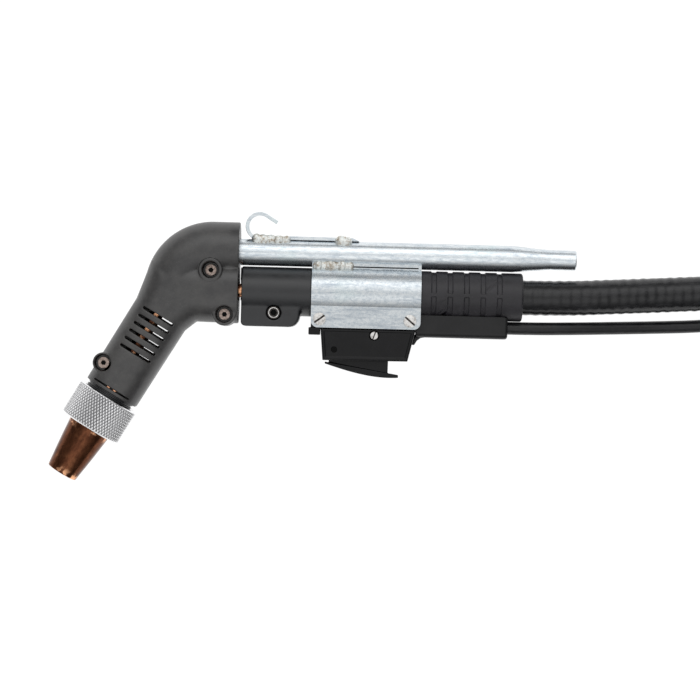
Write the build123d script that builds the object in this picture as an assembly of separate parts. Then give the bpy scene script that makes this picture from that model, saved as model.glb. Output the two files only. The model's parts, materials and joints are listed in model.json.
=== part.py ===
"""MIG welding torch with a fume extraction tube.

The torch lies on its side: +X runs along the handle towards the cables, +Y towards the hook,
and +Z is up. Everything is drawn about the handle axis, which lies in the torch's plane of
symmetry, and is moved to the row's origin as each node is written.
"""
from build123d import *
import os
from math import atan2, cos, degrees, hypot, pi, radians, sin, sqrt, tan

# Driving dimensions, in millimetres and degrees ------------------------------------------------
MID_PLANE = 23.0            # height of the plane of symmetry over the bench
NECK_BEND = 59.6            # turn from the handle axis to the neck axis
NECK_VERTEX = -89.4         # where the two axes cross
TUBE_OD = 19.05             # extraction tube, 3/4 in
GOOSENECK_OD = 15.88        # ends of the current-carrying neck tube, 5/8 in
GOOSENECK_WAIST = 10.0      # the same tube between its ends
GOOSENECK_SET = -2.2        # its waist stands off the neck axis, away from the inner bend
MAIN_CABLE_D = 25.4
CONTROL_CABLE_D = 9.2
RUN_FIT = 0.05              # radial clearance of a moving fit
NOZZLE_TRAVEL = 8.0
TRIGGER_TRAVEL = 8.0        # degrees

# Head housing
HOUSING_FACE = -43.9
HOUSING_END = 87.5          # along the neck
HOUSING_HALF = 20.0
HOUSING_WALL = 2.6
HOUSING_ROUND = 16.0
CROWN_CENTRE = (-62.5, -0.3)
CROWN_R = 49.3
SLOT_START, SLOT_PITCH, SLOT_COUNT = 23.0, 6.2, 6
SLOT_ENDS = (-11.7, 13.6)     # outer and inner end across the neck
FAR_SLOT_END = 10.3           # the slots of the far half stop short
SLOT_WIDTH = 1.9
WEB_Z = (-7.0, -5.6)         # web behind the slots
BOSSES = [                  # x, y, rim radius, rim height
    (-63.9, 13.9, 8.4, 20.4),
    (-53.4, -17.6, 8.2, 17.5),
    (-139.0, -54.4, 7.4, 16.0),
]
COUNTERBORE_R, COUNTERBORE_FLOOR = 6.1, 8.0

# Front end, as distances along the neck from the axes' crossing
COLLAR_END = 91.1
RING_END = 117.1
NOZZLE_END = 155.6
RING_R = 23.0
STUB_R = 17.5
NOZZLE_TIP_R, NOZZLE_ROOT_R, NOZZLE_BORE_R = 11.3, 15.6, 9.5
NOZZLE_EDGE = 0.8

# Handle, bracket and tube
HANDLE_R = 17.5
HANDLE_FRONT = -41.6
BRACKET_X = (8.5, 86.9)
BRACKET_R, SHEET = 19.0, 1.5
EAR_Y = -25.2
CREASE_Y = -9.7
BRACKET_SCREWS = [(14.7, -19.2), (79.3, -19.2)]
BRACKET_BOLT_R = 1.8
GRIP_X = (87.1, 159.8)
CABLE_FACE = 158.0
TUBE_Y = 27.7
TUBE_X = (-54.0, 198.1)
SWAGE_X = (152.0, 179.0)
SPIGOT_D = 14.3
TUBE_WALL = 1.6
HOOK_LOOP = (-29.9, 46.5)
HOOK_LOOP_R = 9.0
HOOK_SHEET = 2.5

# Switch
CASE_HALF = 14.7
PIVOT = (25.7, -40.7)
CASE_SCREW = (54.1, -30.1)
PLUNGER_X = 40.0
SWITCH_FLOOR = -36.4
PLUNGER_TIP = -39.7

# Cables
BOOT_X = (83.9, 149.6)
CONTROL_Y = -22.2
COIL_CENTRE = (456.0, -97.0)
COIL_START = 115.0          # where the leads join the coil, counter-clockwise from +X
COIL_LIFT = 1.0             # the ties pass under the turns
MAIN_R = (144.7, 108.5)     # outer and inner turns
PAIR_PITCH = 18.9           # the control cable lies inside the main cable
CONTROL_INNER_R = 44.6
TIE_ANGLES = (75.0, 5.0)

NECK_DIR = (-cos(radians(NECK_BEND)), -sin(radians(NECK_BEND)))
INNER_DIR = (-NECK_DIR[1], NECK_DIR[0])


def neck_point(along, across=0.0):
    """Point of the plane of symmetry, along the neck and across it towards the inner bend."""
    return (
        NECK_VERTEX + along * NECK_DIR[0] + across * INNER_DIR[0],
        along * NECK_DIR[1] + across * INNER_DIR[1],
    )


# The origin is the middle of the box's base, without the cables
BOX_X = (neck_point(NOZZLE_END - NOZZLE_EDGE, -NOZZLE_TIP_R)[0], TUBE_X[1])
BOX_Y = (
    neck_point(NOZZLE_END, NOZZLE_TIP_R - NOZZLE_EDGE)[1],
    HOOK_LOOP[1] + HOOK_LOOP_R + HOOK_SHEET / 2,
)
SHIFT = (-(BOX_X[0] + BOX_X[1]) / 2, -(BOX_Y[0] + BOX_Y[1]) / 2, MID_PLANE)


# Helpers ---------------------------------------------------------------------------------------
def turned(plane, points):
    """Solid of revolution about the plane's normal, from (radius, height) points."""
    return plane * revolve(Plane.XZ * make_face(Polyline(*points, close=True)), Axis.Z)


def neck_plane():
    return Plane(origin=(NECK_VERTEX, 0, 0), x_dir=(0, 0, 1), z_dir=(*NECK_DIR, 0))


def x_plane(y=0.0, x=0.0):
    return Plane(origin=(x, y, 0), x_dir=(0, 0, -1), z_dir=(1, 0, 0))


def rod(point, radius, z0, z1):
    """Cylinder across the torch."""
    return Pos(point[0], point[1], (z0 + z1) / 2) * Cylinder(radius, z1 - z0)


def x_rod(radius, x0, x1, y=0.0, z=0.0):
    return Pos((x0 + x1) / 2, y, z) * Rot(0, 90, 0) * Cylinder(radius, x1 - x0)


def block(x, y, z):
    """Box between two corners, given as one pair for each axis."""
    centre = [(a + b) / 2 for a, b in (x, y, z)]
    return Pos(*centre) * Box(x[1] - x[0], y[1] - y[0], z[1] - z[0])


def plate(points, z0, z1):
    """Flat piece of constant thickness with a polygonal outline."""
    return Pos(0, 0, z0) * extrude(make_face(Polyline(*points, close=True)), z1 - z0)


def half(shape, side):
    """The part of a shape on one side of the plane of symmetry."""
    reach = (0, 400) if side > 0 else (-400, 0)
    return shape & block((-400, 400), (-400, 400), reach)


# Head housing ----------------------------------------------------------------------------------
def neck_lobe():
    """Outline of the lower lobe and the neck, run on past both end faces."""
    corners = [
        (-10.0, -24.4), (-74.0, -23.2), (-82.3, -30.0),
        neck_point(120.0, HOUSING_HALF), neck_point(120.0, -HOUSING_HALF),
        (-117.0, -7.4), (-112.0, 6.0), (-107.0, 20.0), (-10.0, 20.0),
    ]
    return make_face(Polyline(*corners, close=True))


def crown_lobe(inset):
    """Round lobe that follows the extraction tube and turns down into the neck."""
    radius = HOUSING_HALF - inset
    sweep_r = CROWN_R - HOUSING_HALF
    rise = x_rod(radius, CROWN_CENTRE[0], -10.0, CROWN_CENTRE[1] + sweep_r)
    bend = revolve(Plane.XZ * Pos(sweep_r, 0) * Circle(radius), Axis.Z, 96)
    return rise + Pos(*CROWN_CENTRE, 0) * Rot(0, 0, 90) * bend


def pillow(face, inset):
    """Moulded body on an outline: flat at the middle and rounded along the outline."""
    shrunk = offset(face, -inset, kind=Kind.INTERSECTION) if inset else face
    depth = HOUSING_HALF - inset
    solid = Pos(0, 0, -depth) * extrude(shrunk, 2 * depth)
    rims = solid.edges().group_by(Axis.Z)
    return fillet(rims[0] + rims[-1], HOUSING_ROUND - inset)


def housing_form(inset):
    body = pillow(neck_lobe(), inset) + crown_lobe(inset)
    behind = block((HOUSING_FACE - inset, 400), (-400, 400), (-400, 400))
    end = HOUSING_END - inset
    beyond = Plane(origin=(*neck_point(end), 0), x_dir=(0, 0, 1), z_dir=(*NECK_DIR, 0))
    return body - behind - beyond * Pos(0, 0, 100) * Box(200, 200, 200)


def vent_slots(side):
    slots = []
    outer, inner = SLOT_ENDS if side > 0 else (SLOT_ENDS[0], FAR_SLOT_END)
    for index in range(SLOT_COUNT):
        x, y = neck_point(SLOT_START + index * SLOT_PITCH, (outer + inner) / 2)
        turn = degrees(atan2(INNER_DIR[1], INNER_DIR[0]))
        slot = Rot(0, 0, turn) * SlotOverall(inner - outer, SLOT_WIDTH)
        slots.append(Pos(x, y, -30) * extrude(slot, 60))
    return slots


def housing_shell(side):
    outer = housing_form(0.0)
    shell = outer - housing_form(HOUSING_WALL)
    for x, y, rim, height in BOSSES:
        shell += rod((x, y), rim, -height, height)
    shell -= gooseneck_path_sweep(GOOSENECK_OD / 2 + 0.3)
    shell -= x_rod(TUBE_OD / 2 + 0.1, TUBE_X[0] - 1, 0, TUBE_Y)
    shell -= turned(neck_plane(), [(0, 70), (14.1, 70), (14.1, 100), (0, 100)])
    for slot in vent_slots(side):
        shell -= slot
    for x, y, rim, height in BOSSES:
        shell -= rod((x, y), COUNTERBORE_R, COUNTERBORE_FLOOR, 30)
        shell -= rod((x, y), 2.1, -12, 30)
    x, y = neck_point(84.6)
    turn = degrees(atan2(INNER_DIR[1], INNER_DIR[0]))
    slit = Pos(x, y, 23.6) * Rot(0, 0, turn) * Box(29, 1.1, 10)
    shell -= slit
    shell = half(shell, side)
    if side < 0:
        edge = GOOSENECK_SET + 3.0 - GOOSENECK_WAIST / 2
        web = [neck_point(16, -19), neck_point(16, edge), neck_point(62, edge), neck_point(62, -19)]
        shell += plate(web, WEB_Z[0], WEB_Z[1])
    return shell


def housing_screws():
    screws = []
    for x, y, _, _ in BOSSES:
        shank = rod((x, y), 2.0, -11, COUNTERBORE_FLOOR)
        head = rod((x, y), 4.0, COUNTERBORE_FLOOR, COUNTERBORE_FLOOR + 3.4)
        socket = Pos(x, y, COUNTERBORE_FLOOR + 1.6) * extrude(RegularPolygon(1.9, 6), 3)
        screws.append(shank + head - socket)
    return screws


# Current path and front end --------------------------------------------------------------------
GOOSENECK_BEND_R = 40.0


def gooseneck_path(front, rear):
    """Centre line from a distance along the neck to a place on the handle axis."""
    start, straight = neck_point(1.29, GOOSENECK_SET), neck_point(63, GOOSENECK_SET)
    return FilletPolyline(
        (rear, 0), (start[0], 0), straight, neck_point(75), neck_point(front),
        radius=GOOSENECK_BEND_R,
    )


def gooseneck_path_sweep(radius, front=100.0, rear=0.0):
    path = gooseneck_path(front, rear)
    return sweep(Plane(origin=(rear, 0, 0), z_dir=(-1, 0, 0)) * Circle(radius), path)


def gooseneck():
    tube = gooseneck_path_sweep(GOOSENECK_WAIST / 2, 96.0, -2.0)
    tube += turned(neck_plane(), [(0, 74), (GOOSENECK_OD / 2, 77), (GOOSENECK_OD / 2, 96), (0, 96)])
    tube += x_rod(GOOSENECK_OD / 2, HANDLE_FRONT + 1.5, -2.0)
    tube -= turned(neck_plane(), [(0, 89.5), (4.5, 89.5), (4.5, 97), (0, 97)])
    return tube - gooseneck_path_sweep(3.4, 96.5, -1.0)


def liner():
    tube = gooseneck_path_sweep(2.3, 106.8, 62.0)
    return tube - gooseneck_path_sweep(1.3, 107.2, 63.0)


def neck_collar():
    """Black insulating collar with the stub that the retaining ring screws onto."""
    profile = [
        (7.98, 82.0), (14.0, 82.0), (14.0, HOUSING_END + 0.1), (18.1, HOUSING_END + 0.1),
        (18.1, 88.8), (17.2, 88.8), (17.2, 89.8), (18.1, 89.8), (18.1, COLLAR_END - 0.3),
        (STUB_R, COLLAR_END - 0.3), (STUB_R, 106.0), (10.2, 106.0), (10.2, 96.1), (7.98, 96.1),
    ]
    return turned(neck_plane(), profile)


def gas_diffuser():
    body = [
        (2.4, 90.0), (4.4, 90.0), (4.4, 96.2), (10.0, 96.2), (10.0, 109.0), (8.4, 112.5),
        (4.05, 112.5), (4.05, 106.9), (2.4, 106.9),
    ]
    diffuser = turned(neck_plane(), body)
    for index in range(4):
        port = Rot(0, 0, 45 + index * 90) * Pos(6, 0, 111.0) * Rot(0, 90, 0) * Cylinder(0.9, 12)
        diffuser -= neck_plane() * port
    return diffuser


def contact_tip():
    profile = [(0.9, 107.0), (4.0, 107.0), (4.0, 142.0), (2.9, 147.0), (0.9, 147.0)]
    return turned(neck_plane(), profile)


def nozzle_insulator():
    profile = [(10.0, 106.1), (13.0, 106.1), (13.0, 111.5), (10.0, 111.5)]
    return turned(neck_plane(), profile)


def nozzle():
    profile = [
        (13.0 + RUN_FIT, 106.6), (18.3, 106.6), (18.3, 111.6), (NOZZLE_ROOT_R, 111.6),
        (NOZZLE_ROOT_R, RING_END + 1.5), (14.4, 130.0), (12.9, 143.0),
        (NOZZLE_TIP_R, NOZZLE_END - NOZZLE_EDGE), (NOZZLE_TIP_R - NOZZLE_EDGE, NOZZLE_END),
        (NOZZLE_BORE_R, NOZZLE_END), (12.6, 114.0), (13.0 + RUN_FIT, 113.0),
    ]
    return turned(neck_plane(), profile)


def retaining_ring():
    start, end = COLLAR_END, RING_END
    profile = [
        (STUB_R + RUN_FIT, start), (21.8, start), (RING_R, start + 1.2), (RING_R, end - 1.2),
        (21.8, end), (NOZZLE_ROOT_R + RUN_FIT, end), (NOZZLE_ROOT_R + RUN_FIT, 112.0),
        (18.7, 112.0), (18.7, 106.3), (STUB_R + RUN_FIT, 106.3),
    ]
    return turned(neck_plane(), profile)


# Handle ----------------------------------------------------------------------------------------
CLAMP_SCREW = (-18.2, -15.5)


def clamp_body():
    barrel = x_rod(HANDLE_R, HANDLE_FRONT, 8.4)
    ear = block((HANDLE_FRONT, 0.5), (-25.4, -6.0), (-13.5, 13.5))
    corners = ear.edges().filter_by(Axis.Z).group_by(Axis.Y)[0].sort_by(Axis.X)
    ear = fillet(corners[-1], 8.0)
    ear = fillet(ear.edges().filter_by(Axis.Z).group_by(Axis.Y)[0].sort_by(Axis.X)[0], 3.0)
    body = barrel + ear
    nose = x_rod(16.9, HANDLE_FRONT - 1.4, HANDLE_FRONT + 0.1)
    body += nose & block((-60, 0), (-7, 20), (-20, -2))
    body -= x_rod(GOOSENECK_OD / 2 + 0.05, HANDLE_FRONT - 2, 9)
    body -= x_rod(12.05, -20.2, 9)
    body -= block((HANDLE_FRONT - 1, 0.6), (-30, -7), (-0.8, 0.8))
    body -= rod(CLAMP_SCREW, 5.4, 9.0, 20)
    body -= rod(CLAMP_SCREW, 2.6, -20, 20)
    body -= Pos(*CLAMP_SCREW, -14) * extrude(RegularPolygon(4.75, 6), 5)
    return body


def clamp_screw():
    screw = rod(CLAMP_SCREW, 2.5, -12.5, 9.0) + rod(CLAMP_SCREW, 4.5, 9.0, 13.6)
    return screw - Pos(*CLAMP_SCREW, 10.8) * extrude(RegularPolygon(2.4, 6), 4)


def clamp_nut():
    return Pos(*CLAMP_SCREW, -13.4) * extrude(RegularPolygon(4.6, 6) - Circle(2.5), 4.2)


def cable_connector():
    profile = [
        (7.98, -20.0), (12.0, -20.0), (12.0, 28.0), (8.6, 30.0), (8.6, 62.0), (2.4, 62.0),
        (2.4, -1.8), (7.98, -1.8),
    ]
    return turned(x_plane(), profile)


def cable_core():
    return x_rod(8.0, 62.1, CABLE_FACE) - x_rod(2.5, 60, CABLE_FACE + 1)


def cable_bush():
    return x_rod(12.8, 100.0, CABLE_FACE) - x_rod(8.1, 99, CABLE_FACE + 1)


def handle_tube():
    profile = [
        (12.85, 8.6), (17.35, 8.6), (17.35, BRACKET_X[1]), (13.9, BRACKET_X[1]), (13.9, 156.8),
        (12.85, 156.8),
    ]
    return turned(x_plane(), profile)


def grip_sleeve():
    start, end = GRIP_X
    sleeve = turned(x_plane(), [
        (13.95, start), (17.4, start), (17.4, end - 1.0), (16.4, end), (13.1, end),
        (13.1, 157.0), (13.95, 157.0),
    ])
    for index in range(5):
        x = 94.2 + index * 11.75
        groove = x_rod(18.5, x, x + 3.5) - x_rod(16.6, x - 1, x + 5)
        sleeve -= groove - block((0, 200), (-1.2, 1.2), (-20, 20))
    return sleeve


# Bracket, tube and hook ------------------------------------------------------------------------
def bracket_sleeve():
    """Sheet wrapped round the handle, with flat ears that hold the switch between them."""
    band = Circle(BRACKET_R) - Circle(BRACKET_R - SHEET)
    band -= Pos(0, CREASE_Y - 50) * Rectangle(100, 100)
    ear_face = sqrt(BRACKET_R ** 2 - CREASE_Y ** 2)
    for side in (-1, 1):
        ear = Rectangle(SHEET, CREASE_Y - EAR_Y + 0.01)
        band += Pos(side * (ear_face - SHEET / 2), (CREASE_Y + EAR_Y) / 2) * ear
    sheet = x_plane(x=BRACKET_X[0]) * extrude(band, BRACKET_X[1] - BRACKET_X[0])
    low = sheet.edges().filter_by(Axis.Z).group_by(Axis.Y)[0]
    sheet = fillet(low, 5.0)
    for screw in BRACKET_SCREWS:
        sheet -= rod(screw, BRACKET_BOLT_R + 0.2, -30, 30)
    return sheet - x_rod(TUBE_OD / 2 + 0.02, 0, 100, TUBE_Y)


def bracket_screws():
    face = sqrt(BRACKET_R ** 2 - CREASE_Y ** 2)
    screws = []
    for (x, y), turn in zip(BRACKET_SCREWS, (36, -40)):
        head = rod((x, y), 4.5, face, face + 2.6)
        slot = Pos(x, y, face + 2.4) * Rot(0, 0, turn) * Box(12, 1.3, 2)
        screws.append(head - slot + rod((x, y), BRACKET_BOLT_R, -MID_PLANE, face))
    return screws


def bracket_nuts():
    face = -sqrt(BRACKET_R ** 2 - CREASE_Y ** 2)
    outline = RegularPolygon(4.6, 6) - Circle(BRACKET_BOLT_R)
    return [Pos(x, y, face - 4.2) * extrude(outline, 4.2) for x, y in BRACKET_SCREWS]


def tube_saddle():
    """Two strips that fill the corners between the sleeve and the tube."""
    strip = block(BRACKET_X, (12.0, 26.0), (-7.2, 7.2))
    strip -= x_rod(BRACKET_R + 0.02, 0, 100)
    strip -= x_rod(TUBE_OD / 2 + 0.02, 0, 100, TUBE_Y)
    strip -= block((0, 100), (10, 30), (-1.5, 1.5))
    return strip.solids()


def extraction_tube():
    outer, small = TUBE_OD / 2, SPIGOT_D / 2
    start, end = TUBE_X
    return turned(x_plane(TUBE_Y), [
        (outer - TUBE_WALL, start), (outer, start), (outer, SWAGE_X[0]), (small, SWAGE_X[1]),
        (small, end - 0.8), (small - 0.8, end), (small - TUBE_WALL, end),
        (small - TUBE_WALL, SWAGE_X[1]), (outer - TUBE_WALL, SWAGE_X[0]),
    ])


def hook_strip():
    """Strip on top of the tube whose front end is rolled into a hanging loop."""
    base = TUBE_Y + TUBE_OD / 2 + HOOK_SHEET / 2 + 0.05
    turn_in, turn_out = 243.0, 58.0
    arc = CenterArc(HOOK_LOOP, HOOK_LOOP_R, turn_in, turn_out - turn_in)
    lead = Polyline((37.3, base), (-29.5, base), arc @ 0)
    tip_dir = (sin(radians(turn_out)), -cos(radians(turn_out)))
    start = arc @ 1
    tip = Line(start, (start.X + 9.0 * tip_dir[0], start.Y + 9.0 * tip_dir[1]))
    loop = trace(arc + tip, HOOK_SHEET) + trace(lead, HOOK_SHEET)
    strip = Pos(0, 0, -4) * extrude(loop, 8)
    low, high = base - HOOK_SHEET / 2, base + HOOK_SHEET / 2
    point = plate([(37.0, low), (37.0, high), (42.2, low)], -4, 4)
    return strip + point - x_rod(TUBE_OD / 2 + 0.02, -60, 60, TUBE_Y)


def weld_beads():
    """Fillet welds: tube to saddle on both sides, and hook strip to tube."""
    joined = x_rod(TUBE_OD / 2, -60, 150, TUBE_Y) + x_rod(BRACKET_R, 0, 100)
    joined += block(BRACKET_X, (12.0, 26.0), (-7.2, 7.2))
    strip = hook_strip()
    beads = []
    for side in (-1, 1):
        saddle_bead = x_rod(3.2, 9.5, 38.0, 19.6, side * 7.6)
        beads.append(saddle_bead - joined)
        for x0, x1, radius in ((-34.0, -8.4, 3.2), (25.9, 35.8, 3.9)):
            bead = x_rod(radius, x0, x1, 36.7, side * 4.6)
            beads.append(bead - joined - strip)
    return [solid for bead in beads for solid in bead.solids() if solid.volume > 1.0]


# Switch ----------------------------------------------------------------------------------------
def case_outline(inset):
    outline = Polyline(
        (15.5, EAR_Y - 0.1), (17.5, -48.5), (78.3, -48.1), (83.7, EAR_Y - 0.1), close=True
    )
    face = make_face(outline)
    return offset(face, -inset, kind=Kind.INTERSECTION) if inset else face


def switch_base():
    """Block between the bracket's ears, under the handle, with a lug at its front."""
    base = block((8.6, 83.6), (EAR_Y, -10.0), (-14.7, 14.7))
    base += block((6.9, 15.3), (-30.5, EAR_Y), (-9.0, 9.0))
    base -= x_rod(HANDLE_R + 0.05, 0, 100)
    for screw in BRACKET_SCREWS:
        base -= rod(screw, BRACKET_BOLT_R + 0.1, -30, 30)
    return base - block((30, 84), (-40, -16), (-4, 4))


def switch_case(side):
    wall = 2.0
    case = Pos(0, 0, -CASE_HALF) * extrude(case_outline(0), 2 * CASE_HALF)
    rims = case.edges().group_by(Axis.Z)
    case = fillet(rims[0] + rims[-1], 1.5)
    case -= Pos(0, 0, wall - CASE_HALF) * extrude(case_outline(wall), 2 * (CASE_HALF - wall))
    case -= block((21.0, 67.5), (-60, -44), (-8.3, 8.3))
    case -= block((30, 77), (-28, -20), (-4, 4))
    case += rod(CASE_SCREW, 4.6, wall - CASE_HALF, CASE_HALF - wall)
    for z in (CASE_HALF - 0.5, -CASE_HALF - 0.5):
        case -= Pos(0, 0, z) * extrude(case_outline(2.3), 1)
    case -= rod(CASE_SCREW, 2.0, -10, 30)
    case -= rod(CASE_SCREW, 3.6, CASE_HALF - 2.0, 30)
    case -= rod(PIVOT, 2.0, -30, 30)
    return half(case, side)


def case_screw():
    screw = rod(CASE_SCREW, 1.9, -9.5, CASE_HALF - 2.0)
    screw += rod(CASE_SCREW, 2.7, CASE_HALF - 2.0, CASE_HALF - 0.3)
    return screw - Pos(*CASE_SCREW, CASE_HALF - 0.2) * Rot(0, 0, 70) * Box(8, 0.9, 1.6)


def trigger_pin():
    return rod(PIVOT, 2.0, -CASE_HALF + 0.1, CASE_HALF - 0.1)


def trigger_lever():
    """Hollow-backed lever on the pin, with a long curved finger plate."""
    stem = plate([
        (22.0, -50.0), (22.0, -41.0), (29.5, -38.5), (62.0, -44.5), (64.6, -47.0),
        (64.5, -58.0), (38.4, -54.0),
    ], -7.5, 7.5)
    lug = rod(PIVOT, 4.0, -7.5, 7.5)
    inside = Spline((19.2, -49.6), (41.9, -53.2), (72.0, -57.9))
    outside = Spline((72.0, -59.9), (55.8, -59.6), (37.4, -56.2), (19.2, -50.9))
    outline = [inside, Line(inside @ 1, outside @ 0), outside, Line(outside @ 1, inside @ 0)]
    finger = Pos(0, 0, -9.5) * extrude(make_face(outline), 19)
    lever = stem + lug + finger
    lever -= rod(PIVOT, 2.0 + RUN_FIT, -20, 20)
    return lever - rod(PIVOT, 5.2, -3.0, 3.0)


def trigger_spring():
    """Torsion spring round the pin, drawn as its closed turns and one leg."""
    spring = Pos(*PIVOT, 0) * (Cylinder(4.1, 5.0) - Cylinder(2.9, 6.0))
    leg = block((19.0, 22.5), (-42.0, -40.9), (-0.6, 0.6))
    return spring + leg


def micro_switch():
    body = block((33.0, 49.0), (SWITCH_FLOOR, -27.4), (-5.0, 5.0))
    return body - block((PLUNGER_X - 2.05, PLUNGER_X + 2.05), (-40, -30.7), (-2.05, 2.05))


def switch_plunger():
    return block((PLUNGER_X - 2, PLUNGER_X + 2), (PLUNGER_TIP, -33.2), (-2, 2))


def switch_leads():
    """Pair of leads from the micro switch to the boot."""
    leads = []
    for z in (-2.0, 2.0):
        route = FilletPolyline((46.0, -27.4, z), (46.0, -23.0, z), (BOOT_X[0], -23.0, z), radius=3.0)
        leads.append(sweep(Plane(origin=(46.0, -27.4, z), z_dir=(0, 1, 0)) * Circle(0.9), route))
    return leads


def control_cable_boot():
    """Moulded housing that carries the control cable along the underside of the grip."""
    start, end = BOOT_X
    boot = block((start, end), (-30.4, -12.0), (-10.2, 10.2))
    boot = fillet(boot.edges().filter_by(Axis.X).group_by(Axis.Y)[0], 4.0)
    boot = fillet(boot.faces().sort_by(Axis.X)[-1].edges().group_by(Axis.Y)[0], 2.0)
    gusset = plate(
        [(83.2, -28.5), (91.5, -28.5), (91.0, -30.3), (87.4, -31.0), (84.9, -32.9), (83.0, -36.2),
         (81.5, -36.0)], -6.0, 6.0,
    )
    boot += gusset
    boot -= x_rod(HANDLE_R + 0.1, 0, 200)
    return boot - x_rod(CONTROL_CABLE_D / 2, start - 1, end - 20, CONTROL_Y)


# Cables ----------------------------------------------------------------------------------------
def coil_point(radius, angle):
    a = radians(angle)
    return (COIL_CENTRE[0] + radius * cos(a), COIL_CENTRE[1] + radius * sin(a))


def lead_in(radius, step, height):
    """The last two points of a lead, which runs into its coil along the tangent."""
    x, y = coil_point(radius, COIL_START)
    heading = radians(COIL_START - 90)
    return [(x - step * cos(heading), y - step * sin(heading), height), (x, y, height)]


MAIN_Z = COIL_LIFT + MAIN_CABLE_D / 2
CONTROL_Z = COIL_LIFT + CONTROL_CABLE_D / 2
MAIN_ROUTE = [
    (CABLE_FACE, 0.0, MID_PLANE), (188.0, 0.0, MID_PLANE), (226.0, 2.4, 20.0), (270.0, 5.2, 14.9),
    (316.0, 8.3, MAIN_Z), *lead_in(MAIN_R[0], 40.0, MAIN_Z),
]
CONTROL_ROUTE = [
    (BOOT_X[1], CONTROL_Y, MID_PLANE), (166.0, CONTROL_Y, MID_PLANE), (192.0, -21.5, 21.0),
    (224.0, -20.2, 14.0), (258.0, -18.7, 7.6), (292.0, -17.0, CONTROL_Z),
    (334.0, -12.2, CONTROL_Z), *lead_in(MAIN_R[0] - PAIR_PITCH, 38.0, CONTROL_Z),
]


def cord_tube(name, route, diameter):
    """Tube along straight runs joined by the largest tangent arcs that they allow."""
    points = [Vector(x, y, z - MID_PLANE) for x, y, z in route]
    radii = []
    for before, corner, after in zip(points, points[1:], points[2:]):
        turn = (corner - before).get_angle(after - corner)
        shorter = min((corner - before).length, (after - corner).length)
        radii.append(0.45 * shorter / tan(radians(turn) / 2))
    path = FilletPolyline(*points, radius=radii)
    start = Plane(origin=points[0], z_dir=path % 0)
    tube = sweep(start * Circle(diameter / 2), path)
    section = pi * diameter ** 2 / 4
    print(name, "radii", [round(r) for r in radii], "length", round(path.length, 1))
    print(name, "volume over section times length", round(tube.volume / section / path.length, 4))
    return tube


def ring_sector(inner, outer, z0, z1, start=0.0, sweep_angle=360.0):
    """Part of a flat ring about the coil's centre, with heights over the bench."""
    profile = [(inner, z0), (outer, z0), (outer, z1), (inner, z1)]
    face = Plane.XZ * make_face(Polyline(*profile, close=True))
    ring = Rot(0, 0, start) * revolve(face, Axis.Z, sweep_angle)
    return Pos(*COIL_CENTRE, -MID_PLANE) * ring


def main_cable_coil():
    """Outer shape of the main cable's turns: two columns side by side, two layers high."""
    r = MAIN_CABLE_D / 2
    low, middle, top = COIL_LIFT, COIL_LIFT + 2 * r, COIL_LIFT + 4 * r
    outer, inner = MAIN_R
    turns = ring_sector(outer - r, outer + r, low, middle, COIL_START - 290, 290)
    turns += ring_sector(outer - r, outer + r, middle, top, MAIN_END, COIL_START + 28 - MAIN_END)
    return [turns.solid(), ring_sector(inner - r, inner + r, low, top).solid()]


def control_cable_coil():
    """Outer shape of the control cable's turns, which lie inside the main cable's."""
    r = CONTROL_CABLE_D / 2
    low, top = COIL_LIFT, COIL_LIFT + 2 * r
    outer = MAIN_R[0] - PAIR_PITCH
    ring = ring_sector(outer - r + 0.1, outer + r, low, top, COIL_START - 290, 290)
    return [ring, ring_sector(CONTROL_INNER_R, MAIN_R[1] - PAIR_PITCH + r, low, top)]


def coil_ties():
    """Straps round both columns of the main cable."""
    inside = (MAIN_R[1] - MAIN_CABLE_D / 2 - 0.4, MAIN_R[0] + MAIN_CABLE_D / 2 + 0.2)
    top = COIL_LIFT + 2 * MAIN_CABLE_D + 0.1
    ties = []
    for angle in TIE_ANGLES:
        band = block((inside[0] - 0.9, inside[1] + 0.9), (-8, 8), (0.0, top + 0.9))
        band -= block(inside, (-9, 9), (0.9, top))
        ties.append(Pos(*COIL_CENTRE, -MID_PLANE) * Rot(0, 0, angle) * band)
    return ties


# Gun connector and control plug, on the coil
MAIN_END = -27.0            # where the last turn of the main cable ends
MAIN_END_R = 138.0
CONTROL_END = -51.0
CONTROL_END_R = 49.2
SHELL_R = 14.0


def end_plane(radius, angle, height):
    """Plane across a cord's end, looking along the coil clockwise."""
    x, y = coil_point(radius, angle)
    heading = radians(angle - 90)
    direction = (cos(heading), sin(heading), 0)
    return Plane(origin=(x, y, height - MID_PLANE), x_dir=(0, 0, 1), z_dir=direction)


def connector_plane():
    return end_plane(MAIN_END_R, MAIN_END, COIL_LIFT + MAIN_CABLE_D + SHELL_R)


def plug_plane():
    return end_plane(CONTROL_END_R, CONTROL_END, COIL_LIFT + CONTROL_CABLE_D + 10.1)


def connector_shell():
    profile = [
        (0, 0), (SHELL_R - 0.6, 0), (SHELL_R, 2), (SHELL_R, 40), (12.6, 46), (12.6, 52), (0, 52),
    ]
    return turned(connector_plane(), profile)


def connector_body():
    profile = [(0, 52), (11.5, 52), (11.5, 64), (9.5, 66), (6.35, 66), (6.35, 60), (0, 60)]
    return turned(connector_plane(), profile)


PIN_GROOVES = (72.0, 96.0)


def power_pin():
    profile = [(1.5, 60), (6.35, 60)]
    for groove in PIN_GROOVES:
        profile += [(6.35, groove), (5.15, groove), (5.15, groove + 2.2), (6.35, groove + 2.2)]
    profile += [(6.35, 103), (5.0, 105), (1.5, 105)]
    return turned(connector_plane(), profile)


def pin_seals():
    seals = []
    for groove in PIN_GROOVES:
        seals.append(connector_plane() * Pos(0, 0, groove + 1.1) * Torus(5.75, 0.6))
    return seals


def plug_clamp():
    """Cable clamp at the back of the control plug."""
    return turned(plug_plane(), [(0, 0), (6.2, 0), (7.6, 2), (7.6, 14), (6.0, 16), (0, 16)])


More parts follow.
